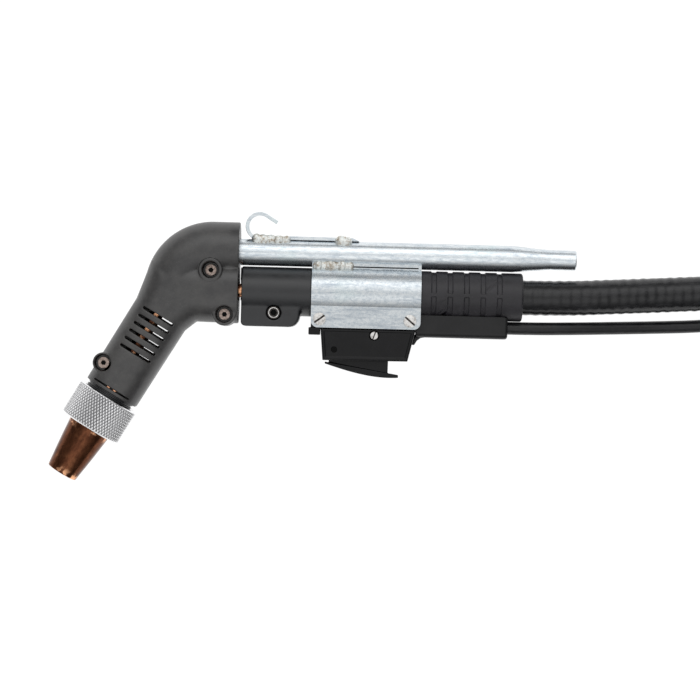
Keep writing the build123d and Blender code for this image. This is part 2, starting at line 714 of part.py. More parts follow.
def plug_shell():
    return turned(plug_plane(), [
        (0, 16), (8.4, 16), (8.4, 30), (7.6, 30), (7.6, 54), (6.6, 54), (6.6, 40), (0, 40),
    ])


def plug_insert():
    insert = turned(plug_plane(), [(0, 40), (6.6, 40), (6.6, 46), (0, 46)])
    for index in range(4):
        pin = Rot(0, 0, 45 + index * 90) * Pos(3.4, 0, 48.5) * Cylinder(0.8, 6)
        insert += plug_plane() * pin
    return insert


def plug_ring():
    """Coupling ring that turns freely on the plug, held by the shell's shoulder."""
    return turned(plug_plane(), [
        (7.6 + RUN_FIT, 30.4), (9.4, 30.4), (10.0, 31.0), (10.0, 44.0), (9.4, 44.6), (9.4, 52.0),
        (7.6 + RUN_FIT, 52.0),
    ])


# Nodes -----------------------------------------------------------------------------------------
NODES = {
    "housing_near": lambda: housing_shell(1),
    "housing_far": lambda: housing_shell(-1),
    "housing_screws": housing_screws,
    "gooseneck": gooseneck,
    "liner": liner,
    "neck_collar": neck_collar,
    "gas_diffuser": gas_diffuser,
    "contact_tip": contact_tip,
    "nozzle_insulator": nozzle_insulator,
    "nozzle": nozzle,
    "retaining_ring": retaining_ring,
    "clamp_body": clamp_body,
    "clamp_screw": clamp_screw,
    "clamp_nut": clamp_nut,
    "cable_connector": cable_connector,
    "cable_core": cable_core,
    "cable_bush": cable_bush,
    "handle_tube": handle_tube,
    "grip_sleeve": grip_sleeve,
    "bracket_sleeve": bracket_sleeve,
    "bracket_screws": bracket_screws,
    "bracket_nuts": bracket_nuts,
    "tube_saddle": tube_saddle,
    "extraction_tube": extraction_tube,
    "hook_strip": hook_strip,
    "weld_beads": weld_beads,
    "switch_base": switch_base,
    "switch_case_near": lambda: switch_case(1),
    "switch_case_far": lambda: switch_case(-1),
    "case_screw": case_screw,
    "trigger_pin": trigger_pin,
    "trigger_lever": trigger_lever,
    "trigger_spring": trigger_spring,
    "micro_switch": micro_switch,
    "switch_plunger": switch_plunger,
    "switch_leads": switch_leads,
    "control_cable_boot": control_cable_boot,
    "main_cable_lead": lambda: cord_tube("main_cable_lead", MAIN_ROUTE, MAIN_CABLE_D),
    "main_cable_coil": main_cable_coil,
    "control_cable_lead": lambda: cord_tube("control_cable_lead", CONTROL_ROUTE, CONTROL_CABLE_D),
    "control_cable_coil": control_cable_coil,
    "coil_ties": coil_ties,
    "connector_shell": connector_shell,
    "connector_body": connector_body,
    "power_pin": power_pin,
    "pin_seals": pin_seals,
    "plug_clamp": plug_clamp,
    "plug_shell": plug_shell,
    "plug_insert": plug_insert,
    "plug_ring": plug_ring,
}


def main():
    os.makedirs("parts", exist_ok=True)
    for name, make in NODES.items():
        made = make()
        pieces = made if isinstance(made, list) else [made]
        solids = [solid.moved(Location(SHIFT)) for piece in pieces for solid in piece.solids()]
        shape = solids[0] if len(solids) == 1 else Compound(solids)
        shape.label = name
        export_step(shape, os.path.join("parts", name + ".step"))


main()
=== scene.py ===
"""MIG welding torch with a fume extraction tube, lying on its side on a white bench."""
import json
import random
from math import ceil, cos, floor, pi, radians, sin

import bmesh
import bpy
from mathutils import Matrix, Vector


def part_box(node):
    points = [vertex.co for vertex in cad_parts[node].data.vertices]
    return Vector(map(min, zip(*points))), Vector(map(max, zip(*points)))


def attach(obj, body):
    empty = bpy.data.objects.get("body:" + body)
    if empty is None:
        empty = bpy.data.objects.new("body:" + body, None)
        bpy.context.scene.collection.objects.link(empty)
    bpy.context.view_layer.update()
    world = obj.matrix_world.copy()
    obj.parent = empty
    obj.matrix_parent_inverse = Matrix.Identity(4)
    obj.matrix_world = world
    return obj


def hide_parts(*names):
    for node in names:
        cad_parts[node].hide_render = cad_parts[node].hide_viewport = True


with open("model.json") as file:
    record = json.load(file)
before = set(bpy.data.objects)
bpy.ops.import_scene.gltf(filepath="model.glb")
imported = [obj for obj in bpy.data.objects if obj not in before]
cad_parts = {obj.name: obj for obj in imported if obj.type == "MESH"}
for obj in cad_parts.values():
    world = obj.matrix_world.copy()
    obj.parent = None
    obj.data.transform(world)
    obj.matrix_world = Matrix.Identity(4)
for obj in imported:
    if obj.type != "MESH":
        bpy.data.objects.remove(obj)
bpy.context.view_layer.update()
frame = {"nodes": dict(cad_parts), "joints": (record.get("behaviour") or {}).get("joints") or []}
NODES = frame["nodes"]
JOINTS = {joint["name"]: joint for joint in frame["joints"]}


# Places, from the frame ------------------------------------------------------------------------
def middle(node):
    low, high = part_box(node)
    return (Vector(low) + Vector(high)) / 2


def low(node):
    return Vector(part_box(node)[0])


def high(node):
    return Vector(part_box(node)[1])


BRACKET_FRONT = 0.0085      # the bracket's front edge, along the handle from the torch's zero
HANDLE = middle("handle_tube")
ZERO = Vector((low("bracket_sleeve").x - BRACKET_FRONT, HANDLE.y, HANDLE.z))
NECK_DIR = Vector(JOINTS["ring_turn"]["axis"]).normalized()
NECK_SIDE = Vector((-NECK_DIR.y, NECK_DIR.x, 0))
RING_AT = Vector(JOINTS["ring_turn"]["pos_m"])
RING_ALONG = 0.104          # the ring joint's place along the neck
NECK_ZERO = RING_AT - NECK_DIR * RING_ALONG


def torch(x, y, z=0.0):
    """Point about the handle axis, in metres, with z from the plane of symmetry."""
    return ZERO + Vector((x, y, z))


def ease(x):
    x = min(max(x, 0.0), 1.0)
    return x * x * (3 - 2 * x)


# Along the neck from its zero
SLIT_ALONG = 0.0846
COLLAR_END = 0.0911
RING_END = 0.1171
NOZZLE_END = 0.1556


# Materials -------------------------------------------------------------------------------------
def map_range(tree, value, low_in, high_in, low_out, high_out, kind="LINEAR"):
    """A value moved from one span to another, and held at its ends."""
    node = tree.nodes.new("ShaderNodeMapRange")
    node.interpolation_type = kind
    for key, number in zip(
        ("From Min", "From Max", "To Min", "To Max"), (low_in, high_in, low_out, high_out)
    ):
        node.inputs[key].default_value = number
    tree.links.new(value, node.inputs["Value"])
    return node.outputs["Result"]


class Shader:
    """A principled material with helpers that add its procedural detail."""

    def __init__(self, name, color, roughness, metallic=0.0):
        self.material = bpy.data.materials.new(name)
        self.material.use_nodes = True
        self.tree = self.material.node_tree
        self.bsdf = self.tree.nodes["Principled BSDF"]
        self.bsdf.inputs["Base Color"].default_value = (*color, 1)
        self.bsdf.inputs["Roughness"].default_value = roughness
        self.bsdf.inputs["Metallic"].default_value = metallic
        self.coords = self.tree.nodes.new("ShaderNodeTexCoord").outputs["Object"]
        self.height = None

    def node(self, kind, **inputs):
        node = self.tree.nodes.new(kind)
        for key, value in inputs.items():
            self.feed(node.inputs[key.replace("_", " ")], value)
        return node

    def feed(self, socket, value):
        if isinstance(value, bpy.types.NodeSocket):
            self.tree.links.new(value, socket)
        else:
            socket.default_value = value

    def scaled(self, scale):
        """Object coordinates stretched along each axis."""
        node = self.node("ShaderNodeMapping", Vector=self.coords, Scale=scale)
        return node.outputs["Vector"]

    def noise(self, scale, detail=3.0, vector=None, roughness=0.5, distortion=0.0):
        node = self.node(
            "ShaderNodeTexNoise", Vector=vector or self.coords, Scale=scale, Detail=detail,
            Roughness=roughness, Distortion=distortion,
        )
        return node.outputs["Fac"]

    def span(self, value, low_in, high_in, low_out=0.0, high_out=1.0):
        return map_range(self.tree, value, low_in, high_in, low_out, high_out)

    def math(self, operation, first, second=0.0):
        node = self.tree.nodes.new("ShaderNodeMath")
        node.operation = operation
        self.feed(node.inputs[0], first)
        self.feed(node.inputs[1], second)
        return node.outputs[0]

    def mix(self, factor, first, second):
        node = self.tree.nodes.new("ShaderNodeMix")
        node.data_type = "RGBA"
        self.feed(node.inputs["Factor"], factor)
        for socket, value in zip(("A", "B"), (first, second)):
            target = [s for s in node.inputs if s.name == socket and s.type == "RGBA"][0]
            self.feed(target, value if isinstance(value, bpy.types.NodeSocket) else (*value, 1))
        return [s for s in node.outputs if s.type == "RGBA"][0]

    def color(self, value):
        self.feed(self.bsdf.inputs["Base Color"], value)

    def rough(self, value):
        self.feed(self.bsdf.inputs["Roughness"], value)

    def bump(self, height, distance, strength=1.0):
        """Adds relief, distance in metres, on top of any that is there."""
        node = self.node("ShaderNodeBump", Height=height, Distance=distance, Strength=strength)
        if self.height is not None:
            self.tree.links.new(self.height, node.inputs["Normal"])
        self.height = node.outputs["Normal"]
        self.tree.links.new(self.height, self.bsdf.inputs["Normal"])

    def along(self, direction, origin):
        """Distance along a line, in metres."""
        moved = self.tree.nodes.new("ShaderNodeVectorMath")
        moved.operation = "SUBTRACT"
        self.feed(moved.inputs[0], self.coords)
        moved.inputs[1].default_value = origin
        dot = self.tree.nodes.new("ShaderNodeVectorMath")
        dot.operation = "DOT_PRODUCT"
        self.feed(dot.inputs[0], moved.outputs["Vector"])
        dot.inputs[1].default_value = direction
        return dot.outputs["Value"]


def moulded_black(name, color, dusty, roughness, grain, gloss=0.5):
    """Moulded black plastic or rubber: cloudy, faintly dusty, with a fine spark-eroded grain."""
    s = Shader(name, color, roughness)
    s.bsdf.inputs["Specular IOR Level"].default_value = gloss
    clouds = s.noise(42.0, 6.0, roughness=0.72)
    specks = s.noise(900.0, 3.0)
    mixed = s.mix(s.span(clouds, 0.38, 0.66), color, dusty)
    dust = s.mix(s.span(specks, 0.60, 0.78, 0.0, 0.3), mixed, tuple(2.2 * c for c in dusty))
    s.color(dust)
    s.rough(s.span(clouds, 0.3, 0.75, roughness - 0.08, roughness + 0.1))
    s.bump(s.noise(2600.0, 2.0), grain)
    s.bump(s.noise(170.0, 3.0), grain * 1.5)
    return s.material


def zinc(name, streak, blotch, tint, shade=1.0):
    """Bright zinc plate over drawn steel: long streaks, small grey blotches, a blue-green tint.

    streak and blotch scale their noise along each axis; shade below 1 darkens the whole plate.
    """
    s = Shader(name, (0.76, 0.79, 0.82), 0.26, 1.0)
    s.bsdf.inputs["Anisotropic"].default_value = 0.25
    streaks = s.noise(1.0, 6.0, s.scaled(streak), 0.65)
    blotches = s.noise(1.0, 6.0, s.scaled(blotch), 0.75, 0.3)
    frost = s.noise(1400.0, 4.0, roughness=0.7)
    base = s.mix(s.span(blotches, 0.42, 0.66), (0.83, 0.87, 0.89), (0.56, 0.63, 0.69))
    base = s.mix(s.span(streaks, 0.52, 0.70, 0.0, 0.75), base, (0.38, 0.44, 0.51))
    base = s.mix(s.span(s.noise(30.0, 3.0), 0.56, 0.68, 0.0, tint), base, (0.60, 0.74, 0.74))
    s.color(s.mix(1.0 - shade, base, (0.0, 0.0, 0.0)))
    fine = s.span(frost, 0.35, 0.7, 0.0, 0.12)
    coarse = s.span(blotches, 0.3, 0.7, 0.14, 0.30)
    s.rough(s.math("ADD", fine, coarse))
    s.bump(frost, 0.00003)
    s.bump(blotches, 0.00004)
    s.bump(streaks, 0.00006)
    return s.material


def metal(name, color, dark, roughness, scale=260.0):
    """Turned or plated metal with blotches, small dark stains and fine scratches."""
    s = Shader(name, color, roughness, 1.0)
    cloud = s.noise(scale, 5.0, roughness=0.65)
    s.color(s.mix(s.span(cloud, 0.42, 0.72), color, dark))
    s.rough(s.span(cloud, 0.3, 0.7, roughness - 0.08, roughness + 0.14))
    s.bump(s.noise(3000.0, 2.0), 0.00002)
    return s.material


def knurled(name, deepest):
    """Bright aluminium diamonds whose grooves are painted darker as shade and made rougher; sunk is
    each point's depth in mm.
    """
    s = Shader(name, (0.86, 0.86, 0.87), 0.22, 1.0)
    sunk = s.tree.nodes.new("ShaderNodeAttribute")
    sunk.attribute_name = "sunk"
    depth = sunk.outputs["Fac"]
    # Painted shade: the colour darkens with depth in the grooves.
    groove_shade = s.span(depth, 0.25 * deepest, 0.85 * deepest)
    s.color(s.mix(groove_shade, (0.90, 0.90, 0.91), (0.19, 0.19, 0.20)))
    s.rough(s.span(depth, 0.1 * deepest, 0.8 * deepest, 0.16, 0.55))
    return s.material


def copper(name, origin, axis):
    """Spun copper under brown heat tarnish, with painted bright glints by the ring and at the lip."""
    s = Shader(name, (0.30, 0.12, 0.07), 0.3, 1.0)
    away = s.along(axis, origin)
    lines = s.node("ShaderNodeTexWhiteNoise")
    lines.noise_dimensions = "1D"
    s.feed(lines.inputs["W"], s.math("FLOOR", s.math("MULTIPLY", away, 5200.0)))
    turned = s.node("ShaderNodeMapping", Vector=s.coords, Scale=(1.0, 1.0, 1.0))
    turned.inputs["Rotation"].default_value = (0, 0, -Vector(axis).to_2d().angle_signed((1, 0)))
    drawn = s.node(
        "ShaderNodeMapping", Vector=turned.outputs["Vector"], Scale=(150.0, 300.0, 300.0)
    )
    cloud = s.noise(1.0, 6.0, drawn.outputs["Vector"], 0.72)
    patch = s.noise(120.0, 3.0, roughness=0.6)
    base = s.mix(s.span(cloud, 0.34, 0.64), (0.17, 0.064, 0.031), (0.066, 0.024, 0.013))
    base = s.mix(s.span(patch, 0.56, 0.74, 0.0, 0.5), base, (0.27, 0.115, 0.055))
    # Painted glints: noisy patches of bright copper colour within a few mm of the ring and of the
    # lip.
    ends = s.math(
        "MAXIMUM", s.span(away, RING_END + 0.0004, RING_END + 0.0052, 1.0, 0.0),
        s.span(away, NOZZLE_END - 0.0062, NOZZLE_END - 0.0008),
    )
    painted_glint = s.math("MULTIPLY", ends, s.span(s.noise(190.0, 2.0), 0.52, 0.60))
    s.color(s.mix(painted_glint, base, (1.0, 0.52, 0.29)))
    s.rough(s.span(patch, 0.3, 0.7, 0.14, 0.26))
    s.bump(lines.outputs["Value"], 0.00001, 0.5)
    return s.material


def cable_black(name, roughness, ripple):
    """Extruded rubber jacket: satin, with scuffs along it."""
    s = Shader(name, (0.013, 0.013, 0.015), roughness)
    s.bsdf.inputs["Specular IOR Level"].default_value = 0.46
    scuff = s.noise(1.0, 4.0, s.scaled((60.0, 420.0, 420.0)), 0.6)
    worn = s.span(scuff, 0.5, 0.75, 0.0, 0.7)
    s.color(s.mix(worn, (0.006, 0.006, 0.0075), (0.026, 0.026, 0.030)))
    s.rough(s.span(scuff, 0.35, 0.7, roughness - 0.08, roughness + 0.14))
    s.bump(s.noise(ripple, 2.0), 0.00018)
    s.bump(s.noise(2200.0, 2.0), 0.00003)
    return s.material


def weld_metal(name):
    """Plated weld metal with brown, heat-stained hollows."""
    s = Shader(name, (0.7, 0.7, 0.68), 0.35, 1.0)
    stain = s.noise(330.0, 5.0, roughness=0.75)
    grain = s.noise(1500.0, 3.0)
    base = s.mix(s.span(stain, 0.46, 0.60), (0.86, 0.89, 0.87), (0.52, 0.46, 0.38))
    base = s.mix(s.span(stain, 0.60, 0.72), base, (0.16, 0.09, 0.045))
    s.color(base)
    s.rough(s.span(grain, 0.3, 0.7, 0.28, 0.55))
    s.bump(stain, 0.0005)
    s.bump(grain, 0.00012)
    return s.material


def woven(name):
    """Black webbing with a two-way weave."""
    s = Shader(name, (0.02, 0.02, 0.022), 0.85)
    s.bsdf.inputs["Sheen Weight"].default_value = 0.3
    first = s.node("ShaderNodeTexWave", Vector=s.coords, Scale=420.0)
    second = s.node("ShaderNodeTexWave", Vector=s.coords, Scale=420.0)
    second.bands_direction = "Y"
    third = s.node("ShaderNodeTexWave", Vector=s.coords, Scale=420.0)
    third.bands_direction = "Z"
    pair = s.math("MAXIMUM", first.outputs["Fac"], second.outputs["Fac"])
    weave = s.math("MULTIPLY", pair, third.outputs["Fac"])
    s.color(s.mix(weave, (0.008, 0.008, 0.009), (0.035, 0.035, 0.038)))
    s.bump(weave, 0.0003)
    return s.material


def resin(name, color, gloss=0.5):
    s = Shader(name, color, 0.5)
    s.bsdf.inputs["Specular IOR Level"].default_value = gloss
    grain = s.noise(420.0, 4.0)
    s.color(s.mix(s.span(grain, 0.35, 0.7), color, tuple(0.55 * c for c in color)))
    s.bump(grain, 0.00006)
    return s.material


MATERIALS = {
    "black_nylon": moulded_black(
        "black_nylon", (0.018, 0.017, 0.018), (0.058, 0.056, 0.054), 0.38, 0.00004, 0.8
    ),
    "clamp_black": moulded_black(
        "clamp_black", (0.0085, 0.009, 0.011), (0.020, 0.021, 0.024), 0.34, 0.00003, 0.62
    ),
    "black_rubber": moulded_black(
        "black_rubber", (0.010, 0.009, 0.012), (0.028, 0.026, 0.032), 0.48, 0.00004, 0.55
    ),
    "switch_plastic": moulded_black(
        "switch_plastic", (0.0030, 0.0030, 0.0036), (0.0075, 0.0075, 0.0085), 0.26, 0.00002, 0.26
    ),
    "zinc": zinc("zinc", (18.0, 700.0, 700.0), (170.0, 620.0, 620.0), 0.35, 0.96),
    "zinc_sheet": zinc("zinc_sheet", (30.0, 260.0, 260.0), (360.0, 620.0, 620.0), 0.3, 0.80),
    "knurled_aluminium": knurled("knurled_aluminium", 0.6),
    "knurled_ring": knurled("knurled_ring", 0.3),
    "steel": metal("steel", (0.80, 0.79, 0.77), (0.36, 0.34, 0.32), 0.30, 420.0),
    "dark_steel": metal("dark_steel", (0.42, 0.34, 0.30), (0.16, 0.12, 0.10), 0.34, 700.0),
    # Dark oxide steel: the clamp screw's own finish, and painted shade in the slots of the bracket
    # and case screws.
    "oxide_and_slot_shade": metal("oxide_and_slot_shade", (0.065, 0.058, 0.054), (0.030, 0.027, 0.025), 0.36, 600.0),
    # Near-black with little gloss: painted shade for screw sockets, the trigger pin's hole and the
    # open saddle joint.
    "recess_shade": resin("recess_shade", (0.003, 0.003, 0.003), 0.1),
    "brass": metal("brass", (0.80, 0.62, 0.28), (0.48, 0.33, 0.13), 0.28),
    "bright_copper": metal("bright_copper", (0.95, 0.50, 0.30), (0.55, 0.25, 0.14), 0.25),
    "boot_black": moulded_black(
        "boot_black", (0.0050, 0.0050, 0.0058), (0.012, 0.012, 0.013), 0.32, 0.00003, 0.36
    ),
    "copper": copper("copper", tuple(NECK_ZERO), tuple(NECK_DIR)),
    "cable_jacket": cable_black("cable_jacket", 0.24, 260.0),
    "control_jacket": cable_black("control_jacket", 0.36, 420.0),
    "weld": weld_metal("weld"),
    "insulator": resin("insulator", (0.25, 0.15, 0.09)),
    "tie_web": woven("tie_web"),
}


# Mesh helpers ----------------------------------------------------------------------------------
def add_object(name, mesh, material, body, node_slot, smooth=True):
    """A finished piece on its body, with its material; node_slot, the record's slot, is not used."""
    piece = bpy.data.objects.new(name, mesh)
    bpy.context.scene.collection.objects.link(piece)
    mesh.materials.clear()
    mesh.materials.append(MATERIALS[material])
    for polygon in mesh.polygons:
        polygon.use_smooth = smooth
    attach(piece, body)
    return piece


def crease_edges(mesh, angle):
    """Marks the sharp edges of a smooth-shaded mesh."""
    work = bmesh.new()
    work.from_mesh(mesh)
    for edge in work.edges:
        turn = edge.calc_face_angle(0.0)
        edge.smooth = turn < angle
    work.to_mesh(mesh)
    work.free()


def applied(piece):
    """The mesh of a piece with its modifiers applied."""
    bpy.context.view_layer.update()
    graph = bpy.context.evaluated_depsgraph_get()
    mesh = bpy.data.meshes.new_from_object(piece.evaluated_get(graph))
    bpy.data.objects.remove(piece)
    return mesh


def welded_copy(node):
    """A copy of a CAD node's mesh whose shared corners are joined."""
    mesh = NODES[node].data.copy()
    work = bmesh.new()
    work.from_mesh(mesh)
    bmesh.ops.remove_doubles(work, verts=work.verts, dist=1e-6)
    work.to_mesh(mesh)
    work.free()
    return mesh


def with_modifier(mesh, kind, **settings):
    """A mesh after one modifier."""
    piece = bpy.data.objects.new("work", mesh)
    bpy.context.scene.collection.objects.link(piece)
    modifier = piece.modifiers.new("work", kind)
    for key, value in settings.items():
        setattr(modifier, key, value)
    return applied(piece)


def blended(mesh, weight, passes):
    """Smooths only where weight(point) is above zero."""
    piece = bpy.data.objects.new("work", mesh)
    bpy.context.scene.collection.objects.link(piece)
    group = piece.vertex_groups.new(name="blend")
    for vertex in mesh.vertices:
        amount = weight(vertex.co)
        if amount > 0:
            group.add([vertex.index], amount, "REPLACE")
    modifier = piece.modifiers.new("blend", "SMOOTH")
    modifier.vertex_group = "blend"
    modifier.factor = 0.5
    modifier.iterations = passes
    return applied(piece)


def softened(name, node, material, body, node_slot, voxel, passes, ratio, blend=None, cutter=None):
    """A moulded piece: the CAD shape with its edges worn to the radius of a mould."""
    mesh = with_modifier(welded_copy(node), "REMESH", mode="VOXEL", voxel_size=voxel)
    mesh = with_modifier(mesh, "SMOOTH", factor=0.5, iterations=passes)
    if blend:
        mesh = blended(mesh, *blend)
    mesh = with_modifier(mesh, "DECIMATE", ratio=ratio)
    if cutter:
        mesh = with_modifier(mesh, "BOOLEAN", operation="DIFFERENCE", object=cutter)
        bpy.data.objects.remove(cutter)
        crease_edges(mesh, radians(50))
    made = add_object(name, mesh, material, body, node_slot)
    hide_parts(node)
    return made


def islands(work):
    """The separate pieces of a mesh, each as a list of its vertices."""
    left = set(work.verts)
    while left:
        stack = [left.pop()]
        island = []
        while stack:
            vertex = stack.pop()
            island.append(vertex)
            for edge in vertex.link_edges:
                other = edge.other_vert(vertex)
                if other in left:
                    left.remove(other)
                    stack.append(other)
        yield island


def recess_faces(island):
    """Faces inside a screw head's socket or slot: just below its top and not facing outwards."""
    spans = [(min(v.co[i] for v in island), max(v.co[i] for v in island)) for i in range(3)]
    centre = Vector([(a + b) / 2 for a, b in spans])
    for face in {face for vertex in island for face in vertex.link_faces}:
        middle_point = face.calc_center_median()
        away = middle_point - centre
        away.z = 0
        outward = face.normal.dot(away.normalized()) if away.length > 1e-5 else 0.0
        depth = spans[2][1] - middle_point.z
        if 0.0003 < depth < 0.0035 and outward < 0.2 and face.normal.z > -0.5:
            yield face


def with_dark_recess(name, node, material, body, node_slot, inner):
    """Screws with worn edges, whose sockets or slots take a darker second material as painted shade.
    """
    mesh = with_modifier(
        welded_copy(node), "BEVEL", width=0.00035, segments=3, limit_method="ANGLE",
        angle_limit=radians(40),
    )
    work = bmesh.new()
    work.from_mesh(mesh)
    # Socket and slot faces get the second material, painted shade.
    dark = {face for island in islands(work) for face in recess_faces(island)}
    for face in work.faces:
        face.material_index = 1 if face in dark else 0
    work.to_mesh(mesh)
    work.free()
    crease_edges(mesh, radians(30))
    indices = [polygon.material_index for polygon in mesh.polygons]
    made = add_object(name, mesh, material, body, node_slot)
    mesh.materials.append(MATERIALS[inner])
    for polygon, index in zip(mesh.polygons, indices):
        polygon.material_index = index
    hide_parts(node)


def axis_matrix(origin, direction):
    """Matrix whose Z axis is a direction."""
    z = Vector(direction).normalized()
    x = Vector((0, 0, 1)) if abs(z.z) < 0.9 else Vector((1, 0, 0))
    y = z.cross(x).normalized()
    x = y.cross(z)
    matrix = Matrix((x, y, z)).transposed().to_4x4()
    matrix.translation = Vector(origin)
    return matrix


def mesh_from(work, name):
    """The finished mesh of a bmesh, which is freed."""
    mesh = bpy.data.meshes.new(name)
    work.to_mesh(mesh)
    work.free()
    return mesh


def block(name, matrix):
    """A one-metre block moved and stretched by a matrix."""
    work = bmesh.new()
    bmesh.ops.create_cube(work, size=1.0)
    work.transform(matrix)
    return mesh_from(work, name)


def bridge(work, first, second):
    """A band of quads between two rings of vertices."""
    count = len(first)
    for index in range(count):
        after = (index + 1) % count
        work.faces.new((first[index], first[after], second[after], second[index]))


def note_sunk(mesh, profile, segments, relief):
    """Keeps each vertex's depth below the plain surface, in mm, for its material."""
    sunk = iter(mesh.attributes.new("sunk", "FLOAT", "POINT").data)
    for radius, along in profile:
        for index in range(segments):
            next(sunk).value = -1000 * relief(radius, along, 2 * pi * index / segments)


def lathe_mesh(name, profile, origin, direction, segments=96, closed=True, relief=None):
    """Surface of revolution from (radius, distance) points; relief changes a vertex's radius."""
    work = bmesh.new()
    matrix = axis_matrix(origin, direction)
    rings = []
    for radius, along in profile:
        ring = []
        for index in range(segments):
            angle = 2 * pi * index / segments
            r = radius + (relief(radius, along, angle) if relief else 0.0)
            ring.append(work.verts.new(matrix @ Vector((r * cos(angle), r * sin(angle), along))))
        rings.append(ring)
    pairs = list(zip(rings, rings[1:]))
    if closed:
        pairs.append((rings[-1], rings[0]))
    for first, second in pairs:
        bridge(work, first, second)
    bmesh.ops.recalc_face_normals(work, faces=work.faces)
    mesh = mesh_from(work, name)
    if relief:
        note_sunk(mesh, profile, segments, relief)
    return mesh


def rounded_profile(points, radius, steps=4):
    """A closed outline with each corner cut by a short arc no larger than its sides allow."""
    made = []
    count = len(points)
    for index in range(count):
        corner = Vector(points[index])
        before = Vector(points[index - 1]) - corner
        after = Vector(points[(index + 1) % count]) - corner
        reach = min(radius, 0.45 * before.length, 0.45 * after.length)
        start = corner + before.normalized() * reach
        end = corner + after.normalized() * reach
        for step in range(steps + 1):
            t = step / steps
            point = start * (1 - t) ** 2 + corner * 2 * t * (1 - t) + end * t ** 2
            made.append((point.x, point.y))
    return made


# Cables ----------------------------------------------------------------------------------------
MAIN_D = 0.0254
CONTROL_D = 0.0092
COIL_LIFT = 0.001
COIL_START = 115.0
OUTER_R, INNER_R = 0.1447, 0.1085
PAIR_PITCH = 0.0189
SPIRAL_PITCH = 0.0095
STEP = 15.0
MAIN_TURN_END = 1222.0
MAIN_END_R = 0.138
CONTROL_TURN_END = 1966.0
IN_AT, UP_AT, OUT_AT = 270, 610, 990        # degrees of turn: a cord moves in, up and out again
PLUG_CLIMB = 130                            # degrees of turn over which the plug's end lifts
PLUG_OUT = 0.00198                          # and moves out, onto the plug's own axis
CONNECTOR_R, PLUG_R = 0.014, 0.0101
TIE_TOP = 0.0519
BENCH = ZERO - Vector((0, 0, ZERO.z))
COIL = BENCH + Vector((0.456, -0.097, 0))
MAIN_LEAD = [
    (0.158, 0.0, 0.023), (0.188, 0.0, 0.023), (0.226, 0.0024, 0.020), (0.270, 0.0052, 0.0149),
    (0.316, 0.0083, 0.0137),
]
CONTROL_LEAD = [
    (0.1496, -0.0222, 0.023), (0.166, -0.0222, 0.023), (0.192, -0.0215, 0.021),
    (0.224, -0.0202, 0.014), (0.258, -0.0187, 0.0076), (0.292, -0.0170, 0.0056),
    (0.334, -0.0122, 0.0056),
]


def coil_point(radius, turn, height):
    """Point of a coil after a number of degrees of clockwise turn."""
    angle = radians(COIL_START - turn)
    return COIL + Vector((radius * cos(angle), radius * sin(angle), height))


def main_turn(turn):
    """Radius and height of the main cable: in on the bench, out again on top."""
    width = OUTER_R - INNER_R
    radius = OUTER_R - width * ease((turn - IN_AT) / 90) + width * ease((turn - OUT_AT) / 90)
    radius -= (OUTER_R - MAIN_END_R) * ease((turn - 1120) / 100)
    height = COIL_LIFT + MAIN_D / 2 + MAIN_D * ease((turn - UP_AT) / 80)
    rise = 0.0013 * ease((turn - 1140) / 80)
    return radius, height + rise


def control_turn(turn):
    """Radius and height of the control cable, which winds on inwards in the middle."""
    radius = OUTER_R - PAIR_PITCH - (OUTER_R - INNER_R) * ease((turn - IN_AT) / 90)
    radius -= SPIRAL_PITCH * max(0.0, turn - 360) / 360
    climb = ease((turn - CONTROL_TURN_END + PLUG_CLIMB) / PLUG_CLIMB)
    height = COIL_LIFT + CONTROL_D / 2 + (CONTROL_D / 2 + PLUG_R) * climb
    return radius + PLUG_OUT * climb, height


def cord_points(lead, step, turn_end, place):
    """The lead's own points, its tangent run into the coil, and the coil's turns."""
    points = [BENCH + Vector(point) for point in lead]
    radius, height = place(0.0)
    start = coil_point(radius, 0.0, height)
    heading = radians(COIL_START - 90)
    points.append(start - step * Vector((cos(heading), sin(heading), 0)))
    points.append(start)
    turn = STEP
    while turn < turn_end - STEP / 2:
        points.append(coil_point(place(turn)[0], turn, place(turn)[1]))
        turn += STEP
    points.append(coil_point(place(turn_end)[0], turn_end, place(turn_end)[1]))
    return points


def nurbs_curve(name, points):
    data = bpy.data.curves.new(name, "CURVE")
    data.dimensions = "3D"
    data.resolution_u = 10
    spline = data.splines.new("NURBS")
    spline.points.add(len(points) - 1)
    for target, point in zip(spline.points, points):
        target.co = (*point, 1)
    spline.order_u = 3
    spline.use_endpoint_u = True
    return data


def spline_path(name, points, spacing):
    """Evenly spaced points read from a route's own NURBS spline."""
    curve = bpy.data.objects.new(name, nurbs_curve(name, points))
    bpy.context.scene.collection.objects.link(curve)
    mesh = applied(curve)
    line = [vertex.co.copy() for vertex in mesh.vertices]
    even = [line[0]]
    left = spacing
    for first, second in zip(line, line[1:]):
        length = (second - first).length
        while length > 0 and left <= length:
            even.append(first.lerp(second, left / length))
            left += spacing
        left -= length
    if (line[-1] - even[-1]).length < spacing / 2:
        even.pop()
    even.append(line[-1])
    return even


def path_length(path):
    return sum((b - a).length for a, b in zip(path, path[1:]))


def headings(path):
    """Direction of travel at each point of a path."""
    for index in range(len(path)):
        ahead = path[min(index + 1, len(path) - 1)]
        behind = path[max(index - 1, 0)]
        yield (ahead - behind).normalized()


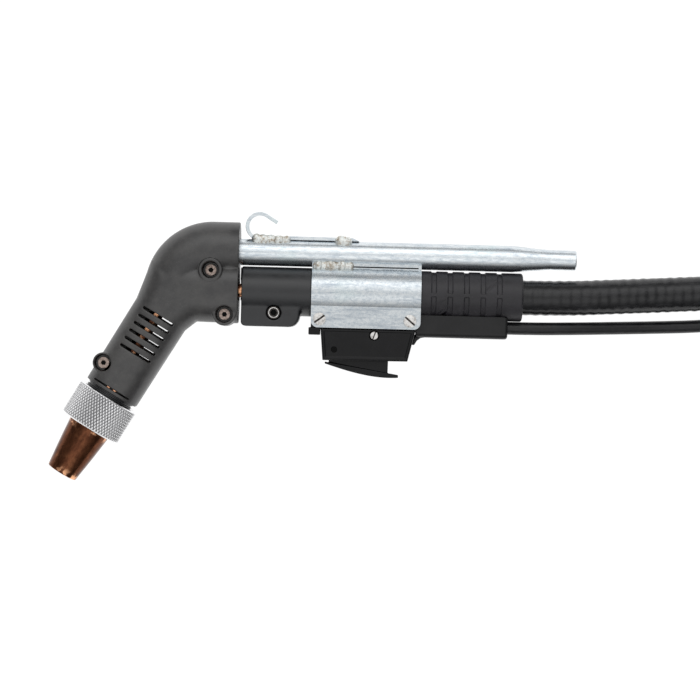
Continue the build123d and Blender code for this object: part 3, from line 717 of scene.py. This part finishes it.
def tube_mesh(name, path, radius_at, sides):
    """Tube along a path, with a radius for each place along and round it, and closed ends."""
    work = bmesh.new()
    tangent = (path[1] - path[0]).normalized()
    side = Vector((0, 0, 1)).cross(tangent).normalized()
    rings = []
    travelled = 0.0
    for index, (point, heading) in enumerate(zip(path, headings(path))):
        side = tangent.rotation_difference(heading) @ side
        side = (side - heading * side.dot(heading)).normalized()
        tangent = heading
        other = tangent.cross(side)
        if index:
            travelled += (point - path[index - 1]).length
        ring = []
        for step in range(sides):
            angle = 2 * pi * step / sides
            radius = radius_at(travelled, angle)
            offset = side * cos(angle) * radius + other * sin(angle) * radius
            ring.append(work.verts.new(point + offset))
        rings.append(ring)
    for first, second in zip(rings, rings[1:]):
        bridge(work, first, second)
    work.faces.new(list(reversed(rings[0])))
    work.faces.new(rings[-1])
    return mesh_from(work, name)


def main_cable():
    """Jacket drawn tight over its wire braid, so that it shows a faint spiral ripple."""
    ripple_pitch, ripple = 0.0068, 0.00015
    route = cord_points(MAIN_LEAD, 0.040, MAIN_TURN_END, main_turn)
    path = spline_path("main_route", route, 0.0011)

    def radius_at(travelled, angle):
        wave = sin(2 * pi * travelled / ripple_pitch + angle)
        second = sin(2 * pi * travelled / (ripple_pitch * 1.31) - 2 * angle)
        return MAIN_D / 2 - 1.6 * ripple + ripple * (wave + 0.5 * second)

    mesh = tube_mesh("main_cable", path, radius_at, 28)
    cable = add_object("main_cable", mesh, "cable_jacket", "torch", "cable_jacket")
    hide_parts("main_cable_lead", "main_cable_coil")
    pieces = ["connector_shell", "connector_body", "power_pin", "pin_seals"]
    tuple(path[0])
    path_length(path)
    [CONNECTOR_SHELL] + [NODES[n] for n in pieces[1:]] + COIL_TIES
    return cable


def control_cable():
    route = cord_points(CONTROL_LEAD, 0.038, CONTROL_TURN_END, control_turn)
    path = spline_path("control_route", route, 0.0025)
    data = nurbs_curve("control_cable", route)
    data.bevel_depth = CONTROL_D / 2
    data.bevel_resolution = 5
    data.use_fill_caps = True
    cable = bpy.data.objects.new("control_cable", data)
    bpy.context.scene.collection.objects.link(cable)
    data.materials.append(MATERIALS["control_jacket"])
    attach(cable, "torch")
    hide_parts("control_cable_lead", "control_cable_coil")
    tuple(path[0])
    path_length(path)
    return cable


def tie_loop(centre, outline, across, inset):
    """Points of one edge of a strap, moved in towards its centre by inset."""
    for x, z in outline:
        toward = centre - Vector((x, 0, z))
        yield Vector((
            x + (inset if toward.x > 0 else -inset) * (abs(toward.x) > 0.02),
            across,
            z + (inset if toward.z > 0 else -inset) * (abs(toward.z) > 0.015),
        ))


def coil_tie(name, angle):
    """Strap pulled flat round both columns of the coil."""
    inside, outside = 0.0945, 0.1585
    width, thick = 0.016, 0.0009
    height = TIE_TOP + thick
    outline = rounded_profile(
        [(inside, 0.0), (outside, 0.0), (outside, height), (inside, height)], 0.009, 6
    )
    work = bmesh.new()
    turn = Matrix.Rotation(radians(angle), 4, "Z")
    centre = Vector(((inside + outside) / 2, 0, height / 2))
    loops = []
    for across, inset in ((-0.5, 0), (0.5, 0), (0.5, thick), (-0.5, thick)):
        points = tie_loop(centre, outline, across * width, inset)
        loops.append([work.verts.new(COIL + turn @ point) for point in points])
    for first, second in zip(loops, loops[1:] + loops[:1]):
        bridge(work, first, second)
    bmesh.ops.recalc_face_normals(work, faces=work.faces)
    return add_object(name, mesh_from(work, name), "tie_web", "torch", "tie_web", smooth=False)


# Turned pieces, by distance along the neck ------------------------------------------------------
def triangle_wave(value):
    return 1 - abs(2 * (value - floor(value)) - 1)


def knurl(radius, start, end, pitch, row, depth, edge):
    """Diamond knurling between two places on a cylinder, fading out at the chamfers.

    The diamonds stand a pitch apart round the cylinder, and their rows a row apart along it.
    """
    count = round(2 * pi * radius / pitch)

    def relief(at_radius, along, angle):
        if at_radius < radius - 1e-5 or not start <= along <= end:
            return 0.0
        around = angle / (2 * pi) * count
        travel = (along - start) / (2 * row)
        height = min(triangle_wave(around + travel), triangle_wave(around - travel))
        fade = ease((along - start) / edge) * ease((end - along) / edge)
        return -depth * (1 - min(1.0, height * 1.8)) * fade

    return relief


def retaining_ring():
    start, end, radius = COLLAR_END, RING_END, 0.023
    steps = 104
    profile = [(0.0176, start), (0.0221, start), (0.0226, start + 0.0004)]
    for index in range(steps + 1):
        profile.append((radius, start + 0.0008 + (end - start - 0.0016) * index / steps))
    profile += [
        (0.0226, end - 0.0004), (0.0221, end), (0.01568, end), (0.01568, 0.112), (0.0187, 0.112),
        (0.0187, 0.1063), (0.0176, 0.1063),
    ]
    relief = knurl(radius, start + 0.0007, end - 0.0007, 0.00237, 0.00196, 0.0006, 0.0006)
    mesh = lathe_mesh(
        "retaining_ring_knurled", profile, NECK_ZERO, NECK_DIR, segments=732, relief=relief
    )
    crease_edges(mesh, radians(50))
    ring = add_object(mesh.name, mesh, "knurled_aluminium", "ring", "knurled_aluminium")
    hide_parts("retaining_ring")


def nozzle():
    """Spun nozzle with a short parallel root, a long taper and a rolled lip."""
    end = NOZZLE_END
    outline = [
        (0.01305, 0.1066), (0.0183, 0.1066), (0.0183, 0.1116), (0.0156, 0.1116),
        (0.0156, RING_END + 0.0015), (0.0150, 0.1239), (0.0144, 0.130), (0.0136, 0.1370),
        (0.0129, 0.143), (0.0121, 0.149), (0.01135, end - 0.0005), (0.0107, end), (0.0097, end),
        (0.0095, end - 0.0005), (0.0126, 0.114), (0.01305, 0.113),
    ]
    outline = rounded_profile(outline, 0.0004, 3)
    mesh = lathe_mesh("copper_nozzle", outline, NECK_ZERO, NECK_DIR, segments=160)
    crease_edges(mesh, radians(40))
    piece = add_object(mesh.name, mesh, "copper", "nozzle", "copper")
    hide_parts("nozzle")


def neck_collar():
    outline = [
        (0.00798, 0.082), (0.014, 0.082), (0.014, 0.0876), (0.0181, 0.0876), (0.0181, 0.0886),
        (0.0171, 0.0888), (0.0171, 0.0898), (0.0181, 0.0900), (0.0181, 0.0907), (0.0175, 0.0909),
        (0.0175, 0.106), (0.0102, 0.106), (0.0102, 0.0961), (0.00798, 0.0961),
    ]
    mesh = lathe_mesh("threaded_collar", rounded_profile(outline, 0.0003, 3), NECK_ZERO, NECK_DIR)
    crease_edges(mesh, radians(40))
    piece = add_object(mesh.name, mesh, "clamp_black", "torch", "black_nylon")
    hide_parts("neck_collar")


def cord_end(place, turn_end, height):
    """Where a cord ends and which way it points, both level."""
    radius, _ = place(turn_end)
    origin = coil_point(radius, turn_end, height)
    heading = radians(COIL_START - turn_end - 90)
    return origin, Vector((cos(heading), sin(heading), 0))


def connector_shell():
    """Moulded back shell of the gun connector, with finger ribs and a tapered nose."""
    origin, direction = cord_end(main_turn, MAIN_TURN_END, COIL_LIFT + MAIN_D + CONNECTOR_R)
    profile = [(0.0, 0.0), (0.0128, 0.0), (0.0134, 0.0006), (0.0140, 0.002)]
    for index in range(7):
        at = 0.008 + index * 0.0045
        profile += [(0.0140, at), (0.0131, at + 0.0006), (0.0131, at + 0.0017), (0.0140, at + 0.0023)]
    profile += [(0.0140, 0.040), (0.0126, 0.046), (0.0126, 0.0518), (0.0120, 0.052), (0.0, 0.052)]
    mesh = lathe_mesh(
        "connector_back_shell", profile, origin, direction, segments=72, closed=False
    )
    crease_edges(mesh, radians(35))
    piece = add_object(mesh.name, mesh, "clamp_black", "torch", "black_nylon")
    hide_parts("connector_shell")
    return piece


def plug_ring():
    """Knurled coupling ring of the control plug."""
    radius = 0.0097
    origin, direction = cord_end(control_turn, CONTROL_TURN_END, COIL_LIFT + CONTROL_D + PLUG_R)
    steps = 48
    profile = [(0.00765, 0.0304), (0.0092, 0.0304), (0.0096, 0.031)]
    for index in range(steps + 1):
        profile.append((radius, 0.0312 + 0.0126 * index / steps))
    profile += [(0.0092, 0.0446), (0.0092, 0.0516), (0.0088, 0.052), (0.00765, 0.052)]
    relief = knurl(radius, 0.0311, 0.0439, 0.0015, 0.0012, 0.0003, 0.0006)
    mesh = lathe_mesh(
        "coupling_ring_knurled", profile, origin, direction, segments=360, relief=relief
    )
    crease_edges(mesh, radians(50))
    piece = add_object(mesh.name, mesh, "knurled_ring", "plug_ring", "knurled_aluminium")
    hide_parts("plug_ring")
    return piece


# Welds -----------------------------------------------------------------------------------------
def bead(name, start, end, radius, spacing, jitter, seed, squash=(1.0, 1.0, 1.0)):
    """Row of overlapping weld drops, fused into one skin."""
    dice = random.Random(seed)
    work = bmesh.new()
    length = (end - start).length
    count = max(2, ceil(length / spacing))
    for index in range(count + 1):
        centre = start.lerp(end, index / count)
        centre += Vector([dice.uniform(-jitter, jitter) for _ in range(3)])
        size = radius * dice.uniform(0.82, 1.12)
        scale = Matrix.Diagonal(Vector([size * s for s in squash] + [1]))
        matrix = Matrix.Translation(centre) @ scale
        bmesh.ops.create_icosphere(work, subdivisions=3, radius=1.0, matrix=matrix)
    piece = bpy.data.objects.new(name, mesh_from(work, name))
    bpy.context.scene.collection.objects.link(piece)
    remesh = piece.modifiers.new("remesh", "REMESH")
    remesh.mode = "VOXEL"
    remesh.voxel_size = 0.00028
    smooth = piece.modifiers.new("smooth", "SMOOTH")
    smooth.iterations = 2
    return add_object(name, applied(piece), "weld", "torch", "weld")


def weld_beads():
    """Tube to saddle, hook foot to tube and strip end to tube, on both sides."""
    rows = (
        ("weld_saddle", (0.0115, 0.0193, 0.0072), (0.0360, 0.0191, 0.0072), 0.0032, 0.0021,
         (0.9, 1.05, 0.55)),
        ("weld_hook_foot", (-0.0316, 0.0368, 0.0050), (-0.0108, 0.0366, 0.0050), 0.0034, 0.0022,
         (0.95, 1.1, 0.6)),
        ("weld_strip_end", (0.0286, 0.0364, 0.0050), (0.0332, 0.0360, 0.0050), 0.0041, 0.0022,
         (1.0, 1.0, 0.7)),
    )
    for index, (name, start, end, radius, spacing, squash) in enumerate(rows):
        for side, label in ((1, "near"), (-1, "far")):
            ends = [torch(x, y, side * z) for x, y, z in (start, end)]
            bead(
                name + "_" + label, *ends, radius, spacing, 0.00045, 10 * index + side + 3, squash
            )
    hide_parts("weld_beads")


def saddle_seam_shades():
    """Thin near-black strip on the saddle plate, painted shade of the open joint between saddle strip
    and tube where no weld fills it, on both sides.
    """
    length, gap, thick = 0.0470, 0.0009, 0.0002
    sunk = 0.00007
    plate = high("tube_saddle").z - ZERO.z
    for side, label in ((1, "near"), (-1, "far")):
        place = torch(0.0613, 0.0188, side * (plate - sunk))
        shape = Matrix.Diagonal((length, gap, thick, 1.0))
        mesh = block("saddle_seam_shade_" + label, Matrix.Translation(place) @ shape)
        add_object(mesh.name, mesh, "recess_shade", "torch", "zinc", smooth=False)


# Build -----------------------------------------------------------------------------------------
CONNECTOR_SHELL = connector_shell()
PLUG_RING = plug_ring()
COIL_TIES = [coil_tie("coil_tie_1", 75.0), coil_tie("coil_tie_2", 5.0)]
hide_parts("coil_ties")
main_cable()
control_cable()
retaining_ring()
nozzle()
neck_collar()
weld_beads()
saddle_seam_shades()

BOSSES = [(-0.0639, 0.0139, 0.0084), (-0.0534, -0.0176, 0.0082), (-0.1390, -0.0544, 0.0074)]
HOUSING_FACE = -0.0439


def housing_blend(point):
    """How far the crown may melt into the neck: not at bosses, slots, ends or the joint line."""
    place = point - ZERO
    weight = ease((abs(place.z) - 0.0075) / 0.004)
    weight *= ease((HOUSING_FACE - 0.002 - place.x) / 0.003)
    for x, y, rim in BOSSES:
        weight *= ease((Vector((place.x - x, place.y - y)).length - rim - 0.0004) / 0.003)
    neck = point - NECK_ZERO
    along = neck.dot(NECK_DIR)
    if along > 0.014:
        weight *= ease((0.019 - along) / 0.005)
    return weight


SLIT_AT = NECK_ZERO + NECK_DIR * SLIT_ALONG


def slit_cutter(side):
    """Block that opens the narrow slit by the collar, which is finer than the mould's radius."""
    width, length, deep = 0.0013, 0.0288, 0.0135
    centre = SLIT_AT + Vector((0, 0, side * 0.0155))
    piece = bpy.data.objects.new("slit_cutter", block("slit_cutter", Matrix.Identity(4)))
    bpy.context.scene.collection.objects.link(piece)
    piece.matrix_world = (
        Matrix.Translation(centre)
        @ Matrix((NECK_DIR, NECK_SIDE, Vector((0, 0, 1)))).transposed().to_4x4()
        @ Matrix.Diagonal((width, length, deep, 1.0))
    )
    return piece


def slit_contacts():
    """Two copper studs on the collar's root that show through the slit on each side."""
    outline = [(0.0, 0.0), (0.0015, 0.0), (0.0015, 0.0048), (0.0009, 0.0052), (0.0, 0.0053)]
    root = 0.0134
    for side, label in ((1, "near"), (-1, "far")):
        for across, number in ((-0.0025, 1), (0.0025, 2)):
            base = SLIT_AT + NECK_SIDE * across + Vector((0, 0, side * root))
            name = "slit_stud_" + label + "_" + str(number)
            mesh = lathe_mesh(name, outline, base, (0, 0, side), segments=32, closed=False)
            add_object(name, mesh, "bright_copper", "torch", "copper")


slit_contacts()

CLAMP_SCREW = (-0.0182, -0.0155)


def clamp_blend(point):
    """The screw ear runs into the barrel without a line."""
    place = point - ZERO
    away = Vector((place.x - CLAMP_SCREW[0], place.y - CLAMP_SCREW[1])).length
    weight = ease((abs(place.z) - 0.006) / 0.003) * ease((away - 0.0059) / 0.002)
    weight *= ease((place.x + 0.0400) / 0.002) * ease((0.0075 - place.x) / 0.002)
    return weight * ease((place.y + 0.0240) / 0.002)


MOULDED = [
    ("head_housing_near", "housing_near", "black_nylon", "torch", "black_nylon", 0.00045, 8, 0.45,
     (housing_blend, 160), slit_cutter(1)),
    ("head_housing_far", "housing_far", "black_nylon", "torch", "black_nylon", 0.00055, 7, 0.4,
     (housing_blend, 110), slit_cutter(-1)),
    ("clamp_body_moulded", "clamp_body", "clamp_black", "torch", "black_nylon", 0.0004, 10, 0.4,
     (clamp_blend, 120)),
    ("grip_moulded", "grip_sleeve", "black_rubber", "torch", "black_rubber", 0.0003, 4, 0.4),
    ("boot_moulded", "control_cable_boot", "boot_black", "torch", "black_rubber", 0.0004, 5, 0.4),
    ("switch_case_near_moulded", "switch_case_near", "switch_plastic", "torch",
     "switch_plastic", 0.0003, 3, 0.4),
    ("switch_case_far_moulded", "switch_case_far", "switch_plastic", "torch",
     "switch_plastic", 0.0004, 3, 0.4),
    ("switch_base_moulded", "switch_base", "switch_plastic", "torch",
     "switch_plastic", 0.0004, 3, 0.4),
    ("trigger_moulded", "trigger_lever", "switch_plastic", "trigger",
     "switch_plastic", 0.0003, 5, 0.4),
    ("hook_strip_rolled", "hook_strip", "zinc", "torch", "zinc", 0.0002, 3, 0.4),
]
for row in MOULDED:
    softened(*row)

# The last column is the material of the socket and slot faces, painted shade: near-black in the
# housing and clamp screw sockets, dark oxide colour in the bracket and case screw slots.
SCREWS = [
    ("housing_screws_socket_shade", "housing_screws", "dark_steel", "torch", "dark_steel", "recess_shade"),
    ("clamp_screw_socket_shade", "clamp_screw", "oxide_and_slot_shade", "torch", "dark_steel", "recess_shade"),
    ("bracket_screws_slotted", "bracket_screws", "steel", "torch", "steel", "oxide_and_slot_shade"),
    ("case_screw_slotted", "case_screw", "steel", "torch", "steel", "oxide_and_slot_shade"),
]
for row in SCREWS:
    with_dark_recess(*row)


def clamp_screw_rim():
    """Rim of the clamp screw's head, rubbed bright by the key."""
    inner, outer, tall, sunk = 0.0032, 0.0038, 0.0005, 0.0004
    origin = middle("clamp_screw")
    origin.z = high("clamp_screw").z - sunk
    outline = [(inner, 0.0), (inner, tall), (outer, tall), (outer, 0.0)]
    outline = rounded_profile(outline, 0.0001, 3)
    mesh = lathe_mesh("clamp_screw_rim", outline, origin, (0, 0, 1), segments=64)
    crease_edges(mesh, radians(40))
    add_object(mesh.name, mesh, "steel", "torch", "dark_steel")


clamp_screw_rim()

# CAD pieces that are shown as they are, each with its material
KEPT = {
    "gooseneck": "copper", "liner": "steel",
    "gas_diffuser": "brass", "contact_tip": "copper", "nozzle_insulator": "insulator",
    "clamp_nut": "steel", "cable_connector": "brass",
    "cable_core": "copper", "cable_bush": "black_rubber", "handle_tube": "clamp_black",
    "bracket_sleeve": "zinc_sheet", "bracket_nuts": "steel",
    "tube_saddle": "zinc_sheet", "extraction_tube": "zinc",
    # The trigger pin takes the near-black recess material, painted shade of its hole.
    "trigger_pin": "recess_shade", "trigger_spring": "steel", "micro_switch": "clamp_black",
    "switch_plunger": "insulator", "switch_leads": "black_rubber", "connector_body": "brass",
    "power_pin": "brass", "pin_seals": "black_rubber", "plug_clamp": "clamp_black",
    "plug_shell": "steel", "plug_insert": "insulator",
}
for node, material in KEPT.items():
    mesh = NODES[node].data
    mesh.materials.clear()
    mesh.materials.append(MATERIALS[material])


# Stage, light and camera -----------------------------------------------------------------------
def white_floor():
    """White bench, which gives off most of its brightness itself so that it stays even."""
    work = bmesh.new()
    bmesh.ops.create_grid(work, x_segments=1, y_segments=1, size=6.0)
    data = mesh_from(work, "bench_top")
    floor_piece = bpy.data.objects.new("bench_top", data)
    floor_piece.location.z = -0.0003
    bpy.context.scene.collection.objects.link(floor_piece)
    material = bpy.data.materials.new("bench_white")
    material.use_nodes = True
    bsdf = material.node_tree.nodes["Principled BSDF"]
    bsdf.inputs["Base Color"].default_value = (0.12, 0.12, 0.12, 1)
    bsdf.inputs["Roughness"].default_value = 0.9
    bsdf.inputs["Emission Color"].default_value = (1, 1, 1, 1)
    bsdf.inputs["Emission Strength"].default_value = 0.99
    data.materials.append(material)


def soft_box(name, place, aim, size, power):
    data = bpy.data.lights.new(name, "AREA")
    data.shape = "RECTANGLE"
    data.size, data.size_y = size
    data.energy = power
    light = bpy.data.objects.new(name, data)
    light.location = place
    light.rotation_euler = (Vector(aim) - Vector(place)).to_track_quat("-Z", "Y").to_euler()
    bpy.context.scene.collection.objects.link(light)


# Strength of the tent's light from low on the trigger's side (-1) to low on the hook's side (1)
TENT = (
    (-0.99, 0.12), (-0.86, 0.34), (-0.70, 0.62), (-0.56, 0.95), (-0.40, 1.22), (-0.26, 1.20),
    (-0.10, 0.98), (0.05, 0.84), (0.18, 0.94), (0.32, 1.26), (0.52, 1.38), (0.72, 1.38),
    (0.84, 1.05), (0.91, 0.70), (0.97, 0.36),
)


def tent_ramp(tree, across):
    """Strength of the light for a place across the tent, given from 0 to 1."""
    ramp = tree.nodes.new("ShaderNodeValToRGB")
    ramp.color_ramp.interpolation = "LINEAR"
    elements = ramp.color_ramp.elements
    while len(elements) < len(TENT):
        elements.new(0.5)
    for element, (place, strength) in zip(elements, TENT):
        element.position = (place + 1) / 2
        element.color = (strength, strength, strength, 1)
    tree.links.new(across, ramp.inputs["Fac"])
    return ramp.outputs["Color"]


def world_math(tree, operation, *values):
    """The result of one math node."""
    node = tree.nodes.new("ShaderNodeMath")
    node.operation = operation
    for value, socket in zip(values, node.inputs):
        tree.links.new(value, socket)
    return node.outputs[0]


def studio():
    """A light tent, bright half-way up both sides, greyer straight above, dim low down and at
    the torch's two ends.
    """
    world = bpy.data.worlds.new("studio")
    bpy.context.scene.world = world
    world.use_nodes = True
    tree = world.node_tree
    coords = tree.nodes.new("ShaderNodeTexCoord")
    split = tree.nodes.new("ShaderNodeSeparateXYZ")
    tree.links.new(coords.outputs["Generated"], split.inputs[0])
    across = tent_ramp(tree, map_range(tree, split.outputs["Y"], -1.0, 1.0, 0.0, 1.0))
    lengthwise = world_math(tree, "ABSOLUTE", split.outputs["X"])
    dim = map_range(tree, lengthwise, 0.12, 0.75, 1.0, 0.30, "SMOOTHSTEP")
    background = tree.nodes["Background"]
    background.inputs["Color"].default_value = (1, 1, 1, 1)
    tree.links.new(world_math(tree, "MULTIPLY", across, dim), background.inputs["Strength"])
    soft_box("key", (0.05, 1.0, 0.95), (0.0, 0.0, 0.0), (1.8, 0.6), 1.2)
    soft_box("fill", (-1.2, -0.6, 0.6), (0.0, 0.0, 0.0), (0.8, 0.5), 1)


def camera():
    """Straight above the torch, through a long lens, turned so that the handle dips a little."""
    distance, view_width, roll = 1.8, 0.504, 1.5
    data = bpy.data.cameras.new("camera")
    data.sensor_width = 36.0
    data.lens = data.sensor_width * distance / view_width
    data.clip_end = 20.0
    eye = bpy.data.objects.new("camera", data)
    eye.location = torch(0.0371, -0.0408, distance)
    eye.rotation_euler = (0, 0, radians(roll))
    bpy.context.scene.collection.objects.link(eye)
    bpy.context.scene.camera = eye


white_floor()
studio()
camera()
bpy.context.scene.view_settings.view_transform = "Standard"
